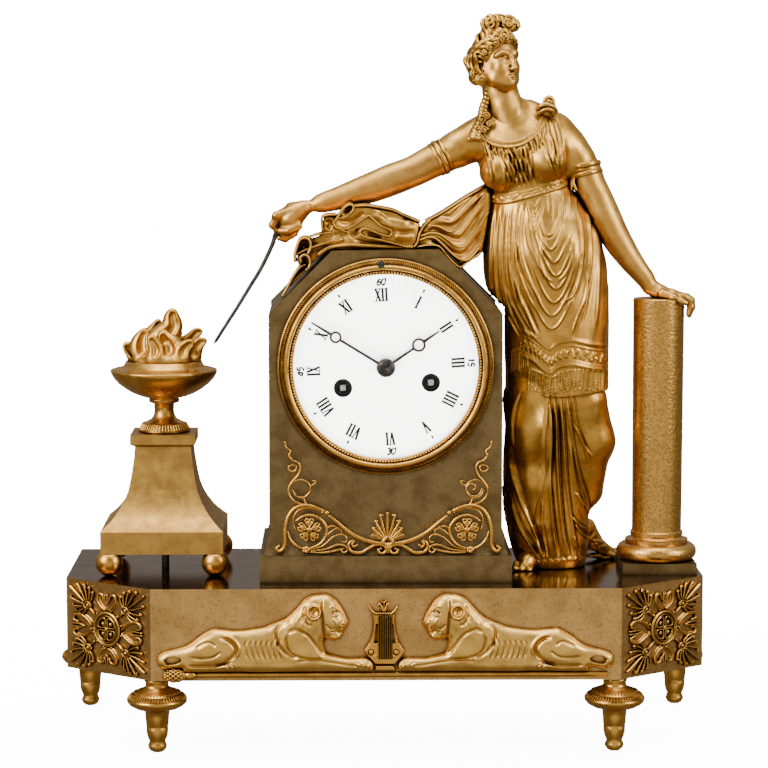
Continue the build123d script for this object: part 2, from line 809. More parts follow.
centre_place = (0.0, 0.0)
going_place = (winding_x, winding_z)
strike_place = (-winding_x, winding_z)
intermediate_place = crossing(
    centre_place,
    centres(train_module, intermediate_teeth, centre_leaves),
    going_place,
    centres(train_module, barrel_teeth, intermediate_leaves),
)
strike_second_place = (-intermediate_place[0], intermediate_place[1])
third_angle = 100.0
third_place = along(*centre_place, centres(fine_module, centre_teeth, train_leaves), third_angle)
escape_rise = (centres(third_module, third_teeth, train_leaves) ** 2 - third_place[0] ** 2) ** 0.5
escape_place = (0.0, third_place[1] + escape_rise)
pallet_rise = 11.0
pallet_place = (0.0, escape_place[1] + pallet_rise)
pin_angle = 100.0
pin_place = along(*strike_second_place, centres(train_module, strike_teeth, pin_leaves), pin_angle)
fly_angle = 150.0
fly_place = along(*pin_place, centres(fly_module, pin_teeth, fly_leaves), fly_angle)
hammer_place = (-27.0, 9.0)
motion_module = 0.5
cannon_leaves = 12
minute_teeth = 36
hour_module = 0.48
minute_leaves = 10
hour_teeth = 40
minute_wheel_place = (0.0, -centres(motion_module, minute_teeth, cannon_leaves))
pivot_places = [
    intermediate_place, third_place, escape_place, pallet_place, strike_second_place, pin_place, fly_place,
    hammer_place,
]
through_places = [pallet_place, strike_second_place, hammer_place]

# Plates and pillars
pillar_radius = 2.5
pillar_places = [(32.0, 18.5), (-32.0, 18.5), (18.5, -32.0), (-18.5, -32.0)]
winding_arbor_radius = 2.0
winding_pivot_radius = 1.5
minute_post_radius = 1.0
minute_post_length = 7.0
with BuildPart() as front_plate:
    extrude(round_face(0, 0, plate_front, front_plate_radius), amount=-plate_thickness)
    extrude(
        round_face(*minute_wheel_place, plate_front, minute_post_radius), amount=minute_post_length
    )
    for place in pivot_places:
        extrude(
            round_face(*place, plate_front, pivot_radius + running_clearance),
            amount=-plate_thickness,
            mode=Mode.SUBTRACT,
        )
    for place in (going_place, strike_place):
        extrude(
            round_face(*place, plate_front, winding_arbor_radius + running_clearance),
            amount=-plate_thickness,
            mode=Mode.SUBTRACT,
        )
    extrude(
        round_face(*centre_place, plate_front, arbor_radius + running_clearance),
        amount=-plate_thickness,
        mode=Mode.SUBTRACT,
    )
    for place in dial_foot_places:
        extrude(
            round_face(*place, plate_front, dial_foot_radius + thread_clearance),
            amount=-plate_thickness,
            mode=Mode.SUBTRACT,
        )
front_plate.part.label = "front_plate"
export_step(front_plate.part, "parts/front_plate.step")

with BuildPart() as back_plate:
    extrude(round_face(0, 0, back_plate_front, back_plate_radius), amount=-plate_thickness)
    for place in [centre_place] + pivot_places:
        bore = arbor_radius if place in through_places else pivot_radius
        extrude(
            round_face(*place, back_plate_front, bore + running_clearance),
            amount=-plate_thickness,
            mode=Mode.SUBTRACT,
        )
    for place in (going_place, strike_place):
        extrude(
            round_face(*place, back_plate_front, winding_pivot_radius + running_clearance),
            amount=-plate_thickness,
            mode=Mode.SUBTRACT,
        )
back_plate.part.label = "back_plate"
export_step(back_plate.part, "parts/back_plate.step")

with BuildPart() as plate_pillars:
    for place in pillar_places:
        extrude(round_face(*place, front_plate_back, pillar_radius), amount=-plate_gap)
        for waist in (0.15, 0.75):
            extrude(
                round_face(*place, front_plate_back + waist * plate_gap, 2 * pillar_radius, 0.8 * pillar_radius),
                amount=-0.1 * plate_gap,
                mode=Mode.SUBTRACT,
            )
plate_pillars.part.label = "plate_pillars"
export_step(plate_pillars.part, "parts/plate_pillars.step")


# Toothed wheels: each tooth has radial flanks below the pitch circle and a rounded tip above it
wheel_tooth_shares = (1.1, 1.0, 0.46, 0.3)
leaf_tooth_shares = (1.35, 0.5, 0.38, 0.45)


def toothed_face(place, y, module, teeth, turn, leaf=False, bore=0.0):
    """Face of a wheel or pinion with a tooth (or, on a pinion, a gap) centred on the angle turn."""
    root, tip, width, crest = leaf_tooth_shares if leaf else wheel_tooth_shares
    pitch_radius = module * teeth / 2
    half = width * pi / teeth
    shift = pi / teeth if leaf else 0.0
    corners = []
    for number in range(teeth):
        middle = 2 * pi * number / teeth + shift
        for radius, angle in (
            (pitch_radius - root * module, -half),
            (pitch_radius, -half),
            (pitch_radius + 0.55 * tip * module, -0.78 * half),
            (pitch_radius + tip * module, -crest * half),
            (pitch_radius + tip * module, crest * half),
            (pitch_radius + 0.55 * tip * module, 0.78 * half),
            (pitch_radius, half),
            (pitch_radius - root * module, half),
        ):
            corners.append((radius * cos(middle + angle), radius * sin(middle + angle)))
    with BuildSketch(on_dial(*place, y, turn)) as face:
        Polygon(*corners, align=None)
        if bore:
            Circle(bore, mode=Mode.SUBTRACT)
    return face.sketch


def crossed_out(place, y, outer, inner, spokes, spoke_width):
    """Windows between the spokes of a wheel."""
    with BuildSketch(on_dial(*place, y)) as face:
        Circle(outer)
        Circle(inner, mode=Mode.SUBTRACT)
        with PolarLocations(0, spokes):
            Rectangle(outer, spoke_width, align=(Align.MIN, Align.CENTER), mode=Mode.SUBTRACT)
    return face.sketch


wheel_thickness = 1.5
pinion_length = 3.0
spoke_width = 2.2
spoke_count = 4
arbor_front = front_plate_back + end_shake
arbor_back = back_plate_front - end_shake
pivot_front = plate_front + end_shake
pivot_back = back_plate_back - end_shake
level_depth = 2.0
level_step = 4.0
level_a = front_plate_back + level_depth
level_b = level_a + level_step
level_c = level_b + level_step
level_d = level_c + level_step
barrel_wheel_y = level_d + 2 * level_step
drum_depth = 12.5
drum_front = barrel_wheel_y - drum_depth
rim_width = 1.7
hub_radius = 3.0
small_hub_radius = 2.4
train_rim_bore = train_module * (intermediate_teeth / 2 - 1.1) - rim_width
centre_rim_bore = fine_module * (centre_teeth / 2 - 1.1) - rim_width
third_rim_bore = third_module * (third_teeth / 2 - 1.1) - rim_width
strike_rim_bore = train_module * (strike_teeth / 2 - 1.1) - rim_width
pinion_overlap = (pinion_length - wheel_thickness) / 2

# Barrels: a toothed rim behind each spring drum, free on its winding arbor
drum_radius = 14.6
for barrel_name, barrel_place, driven_place in (
    ("going_barrel", going_place, intermediate_place),
    ("strike_barrel", strike_place, strike_second_place),
):
    with BuildPart() as barrel:
        bore = winding_arbor_radius + running_clearance
        extrude(
            toothed_face(
                barrel_place, barrel_wheel_y, train_module, barrel_teeth, direction(barrel_place, driven_place),
                bore=bore,
            ),
            amount=-wheel_thickness,
        )
        extrude(
            round_face(*barrel_place, drum_front, drum_radius, bore), amount=-(barrel_wheel_y - drum_front)
        )
    barrel.part.label = barrel_name
    export_step(barrel.part, f"parts/{barrel_name}.step")

# Winding arbors with a square end for the key and a ratchet wheel in front of the plate
ratchet_radius = 6.0
ratchet_teeth = 18
ratchet_depth = 0.9
ratchet_rise = 2.2
ratchet_front = plate_front - ratchet_rise
square_side = 2.8
square_front = dial_edge_front - 0.4 * dial_dome
square_rise = 7.0
square_start = plate_front - square_rise
for arbor_name, arbor_place in (
    ("going_winding_arbor", going_place),
    ("strike_winding_arbor", strike_place),
):
    with BuildPart() as winding_arbor:
        extrude(
            round_face(*arbor_place, square_start, winding_arbor_radius), amount=-(arbor_back - square_start)
        )
        extrude(
            round_face(*arbor_place, arbor_back, winding_pivot_radius), amount=-(pivot_back - arbor_back)
        )
        with BuildSketch(on_dial(*arbor_place, square_front)):
            Rectangle(square_side, square_side)
        extrude(amount=-(square_start - square_front))
        ratchet_corners = []
        for number in range(ratchet_teeth):
            for radius, share in ((ratchet_radius, 0.0), (ratchet_radius - ratchet_depth, 0.08)):
                angle = 2 * pi * (number + share) / ratchet_teeth
                ratchet_corners.append((radius * cos(angle), radius * sin(angle)))
        with BuildSketch(on_dial(*arbor_place, ratchet_front)):
            Polygon(*ratchet_corners, align=None)
        extrude(amount=-wheel_thickness)
    winding_arbor.part.label = arbor_name
    export_step(winding_arbor.part, f"parts/{arbor_name}.step")

# Clicks beside the ratchets, relieved so that the ratchet turns clear of them
click_gap = 0.3
click_length = 8.0
click_width = 3.0
with BuildPart() as barrel_clicks:
    for place in (going_place, strike_place):
        click_z = place[1] - ratchet_radius - click_gap - click_width / 2
        with BuildSketch(on_dial(place[0], click_z, plate_front)):
            SlotOverall(click_length, click_width)
        extrude(amount=ratchet_rise)
barrel_clicks.part.label = "barrel_clicks"
export_step(barrel_clicks.part, "parts/barrel_clicks.step")

# Going train
with BuildPart() as intermediate_wheel:
    extrude(round_face(*intermediate_place, arbor_front, arbor_radius), amount=-(arbor_back - arbor_front))
    extrude(round_face(*intermediate_place, pivot_front, pivot_radius), amount=-(pivot_back - pivot_front))
    extrude(
        toothed_face(
            intermediate_place, barrel_wheel_y - pinion_overlap, train_module, intermediate_leaves,
            direction(intermediate_place, going_place), leaf=True,
        ),
        amount=-pinion_length,
    )
    extrude(
        toothed_face(
            intermediate_place, level_a, train_module, intermediate_teeth,
            direction(intermediate_place, centre_place),
        ),
        amount=-wheel_thickness,
    )
    extrude(
        crossed_out(intermediate_place, level_a, train_rim_bore, hub_radius, spoke_count, spoke_width),
        amount=-wheel_thickness,
        mode=Mode.SUBTRACT,
    )
intermediate_wheel.part.label = "intermediate_wheel"
export_step(intermediate_wheel.part, "parts/intermediate_wheel.step")

centre_arbor_reach = 8.6
centre_arbor_front = case_front - centre_arbor_reach
with BuildPart() as centre_wheel:
    extrude(
        round_face(*centre_place, centre_arbor_front, arbor_radius), amount=-(arbor_back - centre_arbor_front)
    )
    extrude(round_face(*centre_place, arbor_back, pivot_radius), amount=-(pivot_back - arbor_back))
    extrude(
        toothed_face(
            centre_place, level_a - pinion_overlap, train_module, centre_leaves,
            direction(centre_place, intermediate_place), leaf=True,
        ),
        amount=-pinion_length,
    )
    extrude(
        toothed_face(
            centre_place, level_b, fine_module, centre_teeth, direction(centre_place, third_place)
        ),
        amount=-wheel_thickness,
    )
    extrude(
        crossed_out(centre_place, level_b, centre_rim_bore, hub_radius, spoke_count, spoke_width),
        amount=-wheel_thickness,
        mode=Mode.SUBTRACT,
    )
centre_wheel.part.label = "centre_wheel"
export_step(centre_wheel.part, "parts/centre_wheel.step")

with BuildPart() as third_wheel:
    extrude(round_face(*third_place, arbor_front, arbor_radius * 0.6), amount=-(arbor_back - arbor_front))
    extrude(round_face(*third_place, pivot_front, pivot_radius), amount=-(pivot_back - pivot_front))
    extrude(
        toothed_face(
            third_place, level_b - pinion_overlap, fine_module, train_leaves,
            direction(third_place, centre_place), leaf=True,
        ),
        amount=-pinion_length,
    )
    extrude(
        toothed_face(third_place, level_c, third_module, third_teeth, direction(third_place, escape_place)),
        amount=-wheel_thickness,
    )
    extrude(
        crossed_out(third_place, level_c, third_rim_bore, small_hub_radius, spoke_count, spoke_width),
        amount=-wheel_thickness,
        mode=Mode.SUBTRACT,
    )
third_wheel.part.label = "third_wheel"
export_step(third_wheel.part, "parts/third_wheel.step")

escape_tooth_depth = 1.3
with BuildPart() as escape_wheel:
    extrude(round_face(*escape_place, arbor_front, arbor_radius * 0.5), amount=-(arbor_back - arbor_front))
    extrude(round_face(*escape_place, pivot_front, pivot_radius * 0.8), amount=-(pivot_back - pivot_front))
    extrude(
        toothed_face(
            escape_place, level_c - pinion_overlap, third_module, train_leaves,
            direction(escape_place, third_place), leaf=True,
        ),
        amount=-pinion_length,
    )
    escape_corners = []
    for number in range(escape_teeth):
        for radius, share in (
            (escape_radius, 0.0), (escape_radius - escape_tooth_depth, 0.12), (escape_radius - escape_tooth_depth, 0.7)
        ):
            angle = 2 * pi * (number + share) / escape_teeth
            escape_corners.append((radius * cos(angle), radius * sin(angle)))
    with BuildSketch(on_dial(*escape_place, level_d)):
        Polygon(*escape_corners, align=None)
    extrude(amount=-wheel_thickness * 0.8)
    extrude(
        crossed_out(
            escape_place, level_d, escape_radius - 2 * escape_tooth_depth, 0.8 * small_hub_radius, spoke_count,
            0.7 * spoke_width,
        ),
        amount=-wheel_thickness,
        mode=Mode.SUBTRACT,
    )
escape_wheel.part.label = "escape_wheel"
export_step(escape_wheel.part, "parts/escape_wheel.step")

# Pallets on their arbor, with the crutch behind the back plate; the nibs stay clear of the tooth tips
nib_gap = 0.8
pallet_span = 40.0
pallet_arm_width = 1.8
crutch_offset = 2.2
crutch_y = back_plate_back + crutch_offset
crutch_length = 30.0
crutch_radius = 0.8
cock_offset = 4.5
cock_thickness = 2.0
pendulum_gap = 3.0
cock_front = back_plate_back + cock_offset
pendulum_y = cock_front + cock_thickness + pendulum_gap
pendulum_rod_radius = 0.9
pallet_world_x, pallet_world_z = rolled(*pallet_place)
with BuildPart() as pallet_anchor:
    extrude(
        round_face(*pallet_place, arbor_front, arbor_radius), amount=-(crutch_y + crutch_radius - arbor_front)
    )
    extrude(
        round_face(*pallet_place, pivot_front, pivot_radius),
        amount=-(cock_front + cock_thickness / 2 - pivot_front),
    )
    with BuildSketch(on_dial(*pallet_place, level_d)):
        for side in (-1, 1):
            nib_angle = radians(90 - side * pallet_span)
            nib_radius = escape_radius + nib_gap
            nib_x = nib_radius * cos(nib_angle)
            nib_z = nib_radius * sin(nib_angle) - pallet_rise
            Polygon(
                (0, pallet_arm_width),
                (side * pallet_arm_width, 0),
                (nib_x, nib_z),
                (nib_x + side * pallet_arm_width, nib_z),
                (nib_x + side * pallet_arm_width, nib_z + pallet_arm_width),
                align=None,
            )
        Circle(arbor_radius + 0.6 * pallet_arm_width)
    extrude(amount=-wheel_thickness)
    with BuildSketch(Plane(origin=(pallet_world_x, crutch_y, pallet_world_z), z_dir=(0, 0, -1))):
        Circle(crutch_radius)
    extrude(amount=crutch_length)
    with BuildSketch(
        Plane(origin=(pallet_world_x, crutch_y, pallet_world_z - crutch_length), z_dir=(0, 1, 0))
    ):
        Circle(crutch_radius)
    extrude(amount=pendulum_y - 2 * pendulum_rod_radius - running_clearance - crutch_y)
pallet_anchor.part.label = "pallet_anchor"
export_step(pallet_anchor.part, "parts/pallet_anchor.step")

# Suspension cock: a bracket over the pallet arbor that holds the regulator arbor and the silk
cock_foot_x = 8.0
cock_foot_width = 4.0
cock_lower = 28.0
cock_shoulder = 34.0
cock_top = 53.5
cock_half = 6.0
tongue_height = 1.6
silk_radius = 0.35
with BuildPart() as suspension_cock:
    with BuildSketch(on_dial(0, 0, cock_front)):
        Polygon(
            (-cock_foot_x - cock_foot_width / 2, cock_lower),
            (-cock_foot_x + cock_foot_width / 2, cock_lower),
            (-cock_foot_x + cock_foot_width / 2, cock_shoulder - cock_foot_width),
            (cock_foot_x - cock_foot_width / 2, cock_shoulder - cock_foot_width),
            (cock_foot_x - cock_foot_width / 2, cock_lower),
            (cock_foot_x + cock_foot_width / 2, cock_lower),
            (cock_foot_x + cock_foot_width / 2, cock_shoulder),
            (cock_half, cock_shoulder),
            (cock_half, cock_top),
            (-cock_half, cock_top),
            (-cock_half, cock_shoulder),
            (-cock_foot_x - cock_foot_width / 2, cock_shoulder),
            align=None,
        )
    extrude(amount=-cock_thickness)
    for side in (-1, 1):
        with BuildSketch(on_dial(side * cock_foot_x, (cock_lower + cock_shoulder) / 2, cock_front)):
            Rectangle(cock_foot_width, cock_shoulder - cock_lower)
        extrude(amount=cock_offset)
    with BuildSketch(Plane.XY.offset(pallet_world_z)):
        with Locations((pallet_world_x, (cock_front + pendulum_y) / 2 + cock_thickness)):
            Rectangle(cock_half, pendulum_y - cock_front + cock_thickness)
    extrude(amount=tongue_height)
    with BuildSketch(Plane.XY.offset(pallet_world_z)):
        with Locations((pallet_world_x, pendulum_y)):
            Circle(silk_radius + running_clearance)
    extrude(amount=tongue_height, mode=Mode.SUBTRACT)
    extrude(
        round_face(*pallet_place, cock_front, pivot_radius + running_clearance),
        amount=-0.75 * cock_thickness,
        mode=Mode.SUBTRACT,
    )
    extrude(
        round_face(0, regulator_z, cock_front, arbor_radius + running_clearance),
        amount=-cock_thickness,
        mode=Mode.SUBTRACT,
    )
suspension_cock.part.label = "suspension_cock"
export_step(suspension_cock.part, "parts/suspension_cock.step")

# Regulator arbor above the dial: turned with a key from the front, it winds the silk
regulator_recess = 1.2
regulator_tail = 1.5
regulator_front = bezel_front + regulator_recess
regulator_back = pendulum_y + regulator_tail
regulator_world_x, regulator_world_z = rolled(0, regulator_z)
with BuildPart() as regulator_arbor:
    extrude(
        round_face(0, regulator_z, regulator_front, arbor_radius), amount=-(regulator_back - regulator_front)
    )
regulator_arbor.part.label = "regulator_arbor"
export_step(regulator_arbor.part, "parts/regulator_arbor.step")

silk_start_z = regulator_world_z - arbor_radius - 2 * running_clearance
with BuildPart() as suspension_silk:
    silk_lean_x = regulator_world_x - pallet_world_x
    silk_run = Vector(-silk_lean_x, 0, pallet_world_z + tongue_height - silk_start_z)
    with BuildSketch(Plane(origin=(regulator_world_x, pendulum_y, silk_start_z), z_dir=silk_run.normalized())):
        Circle(silk_radius)
    extrude(amount=silk_run.length)
    with BuildSketch(Plane.XY.offset(pallet_world_z)):
        with Locations((pallet_world_x, pendulum_y)):
            Circle(silk_radius)
    extrude(amount=tongue_height)
suspension_silk.part.label = "suspension_silk"
export_step(suspension_silk.part, "parts/suspension_silk.step")

# Pendulum: a thread, a hook and a thin rod, with a round bob between two rating nuts
pendulum_length = 128.8
thread_length = 8.0
bob_radius = 11.0
bob_thickness = 6.0
with BuildPart() as pendulum_rod:
    with BuildSketch(Plane(origin=(pallet_world_x, pendulum_y, pallet_world_z - running_clearance), z_dir=(0, 0, -1))):
        Circle(silk_radius)
    extrude(amount=thread_length)
    with BuildSketch(Plane(origin=(pallet_world_x, pendulum_y, pallet_world_z - thread_length), z_dir=(0, 0, -1))):
        Circle(pendulum_rod_radius)
    extrude(amount=pendulum_length - thread_length + 0.6 * bob_radius)
    fork_z = pallet_world_z - crutch_length
    with BuildSketch(Plane.XY.offset(fork_z)):
        with Locations((pallet_world_x, pendulum_y)):
            Circle(2 * pendulum_rod_radius)
    extrude(amount=pendulum_rod_radius)
pendulum_rod.part.label = "pendulum_rod"
export_step(pendulum_rod.part, "parts/pendulum_rod.step")

with BuildPart() as pendulum_bob:
    bob_z = pallet_world_z - pendulum_length
    bob_section = [
        (0, -bob_thickness / 2),
        (bob_radius, -0.08 * bob_thickness, -2.2 * bob_radius),
        (bob_radius, 0.08 * bob_thickness),
        (0, bob_thickness / 2, -2.2 * bob_radius),
    ]
    with BuildSketch(Plane(origin=(pallet_world_x, pendulum_y, bob_z), x_dir=(1, 0, 0), z_dir=(0, 0, 1))):
        with BuildLine():
            add(outline(bob_section))
        make_face()
    revolve(axis=Axis((pallet_world_x, pendulum_y, bob_z), (0, 1, 0)))
    with BuildSketch(Plane.XY.offset(bob_z - bob_radius - overrun)):
        with Locations((pallet_world_x, pendulum_y)):
            Circle(pendulum_rod_radius + thread_clearance)
    extrude(amount=2 * bob_radius + 2 * overrun, mode=Mode.SUBTRACT)
pendulum_bob.part.label = "pendulum_bob"
export_step(pendulum_bob.part, "parts/pendulum_bob.step")

# Motion work under the dial
cannon_outer = 2.0
cannon_bore = arbor_radius + running_clearance
cannon_reach = 8.2
cannon_front = case_front - cannon_reach
motion_rise = 2.6
motion_step = 3.8
motion_a = plate_front - motion_rise
motion_b = motion_a - motion_step
hour_pipe_bore = cannon_outer + running_clearance
hour_pipe_outer = 2.9
hour_pipe_reach = 6.6
hour_pipe_front = case_front - hour_pipe_reach
with BuildPart() as cannon_pinion:
    extrude(
        round_face(*centre_place, cannon_front, cannon_outer, cannon_bore),
        amount=-(plate_front - end_shake - cannon_front),
    )
    extrude(
        toothed_face(
            centre_place, motion_a - pinion_overlap, motion_module, cannon_leaves,
            direction(centre_place, minute_wheel_place), leaf=True, bore=cannon_bore,
        ),
        amount=-(wheel_thickness + pinion_overlap),
    )
cannon_pinion.part.label = "cannon_pinion"
export_step(cannon_pinion.part, "parts/cannon_pinion.step")

with BuildPart() as minute_wheel:
    extrude(
        toothed_face(
            minute_wheel_place, motion_a, motion_module, minute_teeth,
            direction(minute_wheel_place, centre_place), bore=minute_post_radius + running_clearance,
        ),
        amount=-wheel_thickness,
    )
    extrude(
        toothed_face(
            minute_wheel_place, motion_b - pinion_overlap, hour_module, minute_leaves,
            direction(minute_wheel_place, centre_place), leaf=True, bore=minute_post_radius + running_clearance,
        ),
        amount=-(motion_a - motion_b + pinion_overlap),
    )
minute_wheel.part.label = "minute_wheel"
export_step(minute_wheel.part, "parts/minute_wheel.step")

with BuildPart() as hour_wheel:
    extrude(
        toothed_face(
            centre_place, motion_b, hour_module, hour_teeth, direction(centre_place, minute_wheel_place),
            bore=hour_pipe_bore,
        ),
        amount=-wheel_thickness,
    )
    extrude(
        round_face(*centre_place, hour_pipe_front, hour_pipe_outer, hour_pipe_bore),
        amount=-(motion_b - hour_pipe_front),
    )
hour_wheel.part.label = "hour_wheel"
export_step(hour_wheel.part, "parts/hour_wheel.step")

# Hands with an open ring near the tip, set at about ten minutes to two
hour_angle = 90 - 55.7
minute_angle = 90 + 58.5
hand_width = 1.3
boss_cap_radius = 4.8
boss_cap_height = 1.6
ring_bore = 1.7
hour_ring_place = 20.1
hour_ring_radius = 3.3
minute_ring_place = 29.7
minute_ring_radius = 2.8
hand_seat = 0.2
hour_hand_y = hour_pipe_front + hand_thickness + hand_seat
minute_hand_y = cannon_front + hand_thickness - hand_seat
with BuildPart() as hour_hand:
    with BuildSketch(on_dial(*centre_place, hour_hand_y, hour_angle)):
        Circle(boss_cap_radius)
        Polygon((0, -hand_width), (0, hand_width), (hour_hand_length, 0), align=None)
        with Locations((hour_ring_place, 0)):
            Circle(hour_ring_radius)
        with Locations((hour_ring_place, 0)):
            Circle(hour_ring_radius - ring_bore / 2, mode=Mode.SUBTRACT)
        Circle(hour_pipe_outer, mode=Mode.SUBTRACT)
    extrude(amount=hand_thickness)
hour_hand.part.label = "hour_hand"
export_step(hour_hand.part, "parts/hour_hand.step")

with BuildPart() as minute_hand:
    with BuildSketch(on_dial(*centre_place, minute_hand_y, minute_angle)):
        Circle(boss_cap_radius)
        Polygon((0, -hand_width), (0, hand_width), (minute_hand_length, 0), align=None)
        with Locations((minute_ring_place, 0)):
            Circle(minute_ring_radius)
        with Locations((minute_ring_place, 0)):
            Circle(minute_ring_radius - ring_bore / 2, mode=Mode.SUBTRACT)
        Circle(cannon_outer, mode=Mode.SUBTRACT)
    extrude(amount=hand_thickness)
    boss_foot = minute_hand_y - hand_thickness
    boss_bore = 1.1 * cannon_outer
    boss_recess = centre_arbor_reach - cannon_reach
    extrude(round_face(*centre_place, boss_foot, 0.97 * boss_cap_radius, boss_bore), amount=boss_recess)
    extrude(
        round_face(*centre_place, boss_foot - boss_recess, 0.97 * boss_cap_radius),
        amount=boss_cap_height - boss_recess,
        taper=50,
    )
minute_hand.part.label = "minute_hand"
export_step(minute_hand.part, "parts/minute_hand.step")

# Striking train
count_gap = 0.6
count_thickness = 1.0
count_front = back_plate_back + count_gap
with BuildPart() as strike_second_wheel:
    extrude(
        round_face(*strike_second_place, arbor_front, arbor_radius),
        amount=-(count_front + count_thickness + end_shake - arbor_front),
    )
    extrude(
        round_face(*strike_second_place, pivot_front, pivot_radius), amount=-(arbor_front - pivot_front)
    )
    extrude(
        toothed_face(
            strike_second_place, barrel_wheel_y - pinion_overlap, train_module, intermediate_leaves,
            direction(strike_second_place, strike_place), leaf=True,
        ),
        amount=-pinion_length,
    )
    extrude(
        toothed_face(
            strike_second_place, level_a, train_module, strike_teeth, direction(strike_second_place, pin_place)
        ),
        amount=-wheel_thickness,
    )
    extrude(
        crossed_out(strike_second_place, level_a, strike_rim_bore, hub_radius, spoke_count, spoke_width),
        amount=-wheel_thickness,
        mode=Mode.SUBTRACT,
    )
strike_second_wheel.part.label = "strike_second_wheel"
export_step(strike_second_wheel.part, "parts/strike_second_wheel.step")

# Count wheel behind the back plate: twelve notches, spaced for one to twelve blows
count_radius = 7.5
count_notch_depth = 1.1
count_notch_width = 0.55
total_blows = 90
count_starts = [sum(range(1, hour + 1)) + hour for hour in range(12)]
with BuildPart() as count_wheel:
    with BuildSketch(on_dial(*strike_second_place, count_front)):
        Circle(count_radius)
        Circle(arbor_radius, mode=Mode.SUBTRACT)
        for blows in count_starts:
            with PolarLocations(count_radius, 1, start_angle=360 * blows / total_blows):
                Rectangle(2 * count_notch_depth, count_notch_width, mode=Mode.SUBTRACT)
    extrude(amount=-count_thickness)
count_wheel.part.label = "count_wheel"
export_step(count_wheel.part, "parts/count_wheel.step")

pin_ring = 6.0
pin_count = 8
pin_radius = 0.5
pin_length = 2.0
with BuildPart() as pin_wheel:
    extrude(round_face(*pin_place, arbor_front, arbor_radius), amount=-(arbor_back - arbor_front))
    extrude(round_face(*pin_place, pivot_front, pivot_radius), amount=-(pivot_back - pivot_front))
    extrude(
        toothed_face(
            pin_place, level_a - pinion_overlap, train_module, pin_leaves,
            direction(pin_place, strike_second_place), leaf=True,
        ),
        amount=-pinion_length,
    )
    extrude(
        toothed_face(pin_place, level_b, fly_module, pin_teeth, direction(pin_place, fly_place)),
        amount=-wheel_thickness,
    )
    with BuildSketch(on_dial(*pin_place, level_b)):
        with PolarLocations(pin_ring, pin_count):
            Circle(pin_radius)
    extrude(amount=-(wheel_thickness + pin_length))
pin_wheel.part.label = "pin_wheel"
export_step(pin_wheel.part, "parts/pin_wheel.step")

fly_half = 4.8
fly_vane_start = level_c
fly_vane_length = 12.0
fly_vane_thickness = 0.5
with BuildPart() as strike_fly:
    extrude(round_face(*fly_place, arbor_front, 0.7 * arbor_radius), amount=-(arbor_back - arbor_front))
    extrude(round_face(*fly_place, pivot_front, pivot_radius), amount=-(pivot_back - pivot_front))
    extrude(
        toothed_face(
            fly_place, level_b - pinion_overlap, fly_module, fly_leaves, direction(fly_place, pin_place),
            leaf=True,
        ),
        amount=-pinion_length,
    )
    with BuildSketch(on_dial(*fly_place, fly_vane_start, 45)):
        Rectangle(2 * fly_half, fly_vane_thickness)
        Circle(arbor_radius)
    extrude(amount=-fly_vane_length)
strike_fly.part.label = "strike_fly"
export_step(strike_fly.part, "parts/strike_fly.step")

# Bell behind the movement, its stand on the back plate and the hammer beside its rim
bell_place = (0.0, -8.0)
bell_radius = 26.0
bell_offset = 17.0
bell_front = back_plate_back + bell_offset
stand_nut_radius = 3.0
stand_nut_height = 2.0
bell_depth = 15.0
bell_wall = 1.2
bell_screw_radius = 1.5
bell_back = bell_front + bell_depth
with BuildPart() as strike_bell:
    bell_world_x, bell_world_z = rolled(*bell_place)
    bell_section = [
        (bell_screw_radius + thread_clearance, bell_back),
        (bell_screw_radius + thread_clearance, bell_back - bell_wall),
        (1.1 * stand_nut_radius, bell_back - bell_wall),
        (0.62 * bell_radius, bell_back - 1.9 * bell_wall, 2 * bell_radius),
        (bell_radius - bell_wall, bell_front, 0.9 * bell_radius),
        (bell_radius, bell_front),
        (0.66 * bell_radius, bell_back - 0.6 * bell_wall, -0.9 * bell_radius),
        (1.1 * stand_nut_radius, bell_back),
    ]
    with BuildSketch(Plane(origin=(bell_world_x, 0, bell_world_z), x_dir=(1, 0, 0), z_dir=(0, 0, 1))):
        with BuildLine():
            add(outline(bell_section))
        make_face()
    revolve(axis=Axis((bell_world_x, 0, bell_world_z), (0, 1, 0)))
strike_bell.part.label = "strike_bell"
export_step(strike_bell.part, "parts/strike_bell.step")

stand_place = (-20.0, -28.0)
stand_radius = 2.5
stand_arm_offset = 14.0
stand_arm_front = back_plate_back + stand_arm_offset
stand_arm_thickness = 2.0
with BuildPart() as bell_stand:
    extrude(
        round_face(*stand_place, back_plate_back, stand_radius),
        amount=-(stand_arm_front + stand_arm_thickness - back_plate_back),
    )
    arm_span = ((bell_place[0] - stand_place[0]) ** 2 + (bell_place[1] - stand_place[1]) ** 2) ** 0.5
    with BuildSketch(on_dial(*stand_place, stand_arm_front, direction(stand_place, bell_place))):
        with Locations((arm_span / 2, 0)):
            SlotCenterToCenter(arm_span, 2 * stand_radius)
    extrude(amount=-stand_arm_thickness)
    extrude(
        round_face(*bell_place, stand_arm_front, bell_screw_radius),
        amount=-(bell_back + stand_nut_height - stand_arm_front),
    )
    extrude(
        round_face(*bell_place, stand_arm_front, stand_nut_radius),
        amount=-(bell_back - bell_wall - stand_arm_front),
    )
    extrude(round_face(*bell_place, bell_back, stand_nut_radius), amount=-stand_nut_height)
bell_stand.part.label = "bell_stand"
export_step(bell_stand.part, "parts/bell_stand.step")

